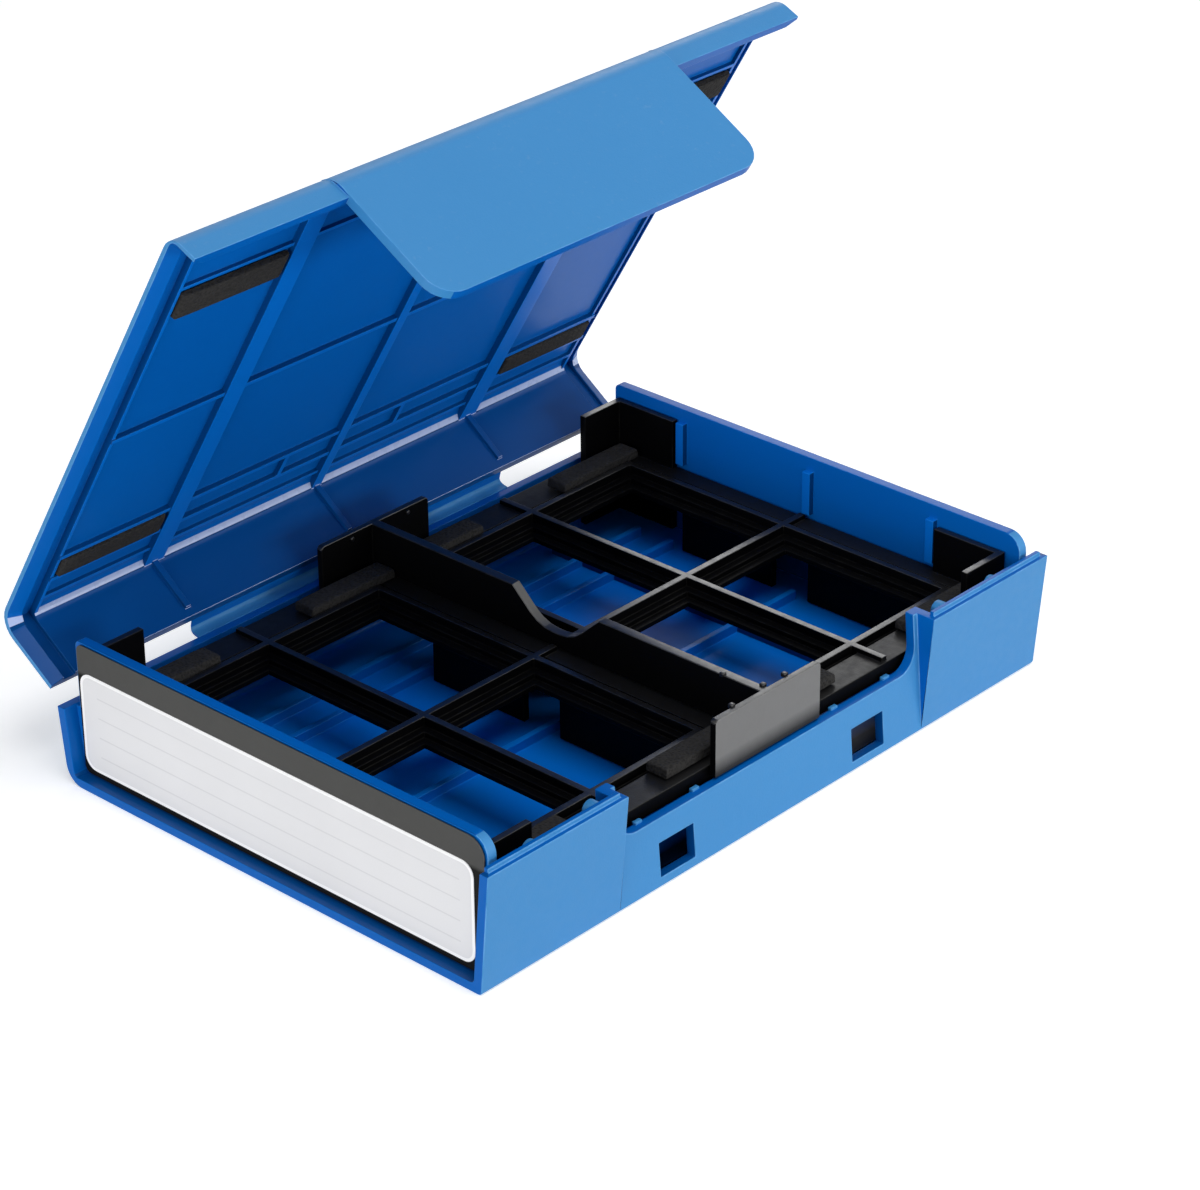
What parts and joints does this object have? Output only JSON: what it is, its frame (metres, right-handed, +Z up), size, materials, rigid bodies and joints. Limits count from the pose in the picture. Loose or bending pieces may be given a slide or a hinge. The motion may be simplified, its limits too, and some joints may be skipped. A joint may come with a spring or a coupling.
{
  "type": "hard drive case",
  "caption": "Hinged plastic case for bare drives, with a snap flap, foam-padded inner tray and divider, and a writing label on one end.",
  "frame": {"origin": "middle of the underside of the base, on the surface it stands on", "axes": "+X along the long side, away from the labelled end; +Y from the latch side to the hinge side; +Z up"},
  "size_m": [0.168, 0.134, 0.1301],
  "materials": {
    "case_plastic": "satin moulded polypropylene",
    "hinge_film": "thin satin polypropylene film",
    "tray_plastic": "satin black plastic",
    "foam": "dull dark foam",
    "label": "printed film label"
  },
  "bodies": {
    "base": {"base_shell": "case_plastic", "living_hinge": "hinge_film", "inner_tray": "tray_plastic", "tray_divider": "tray_plastic", "tray_pad_left_front_inner": "foam", "tray_pad_left_front_outer": "foam", "tray_pad_left_back_inner": "foam", "tray_pad_left_back_outer": "foam", "tray_pad_right_front_inner": "foam", "tray_pad_right_front_outer": "foam", "tray_pad_right_back_inner": "foam", "tray_pad_right_back_outer": "foam", "index_label": "label"},
    "lid": {"lid_shell": "case_plastic", "lid_pad_left_front": "foam", "lid_pad_left_back": "foam", "lid_pad_right_front": "foam", "lid_pad_right_back": "foam"}
  },
  "joints": [
    {"name": "lid_hinge", "type": "hinge", "parent": "base", "child": "lid", "pos_m": [0, 0.0623, 0.0174], "axis": [1, 0, 0], "range_deg": [-114, 59.5], "deforming": ["living_hinge"]}
  ]
}
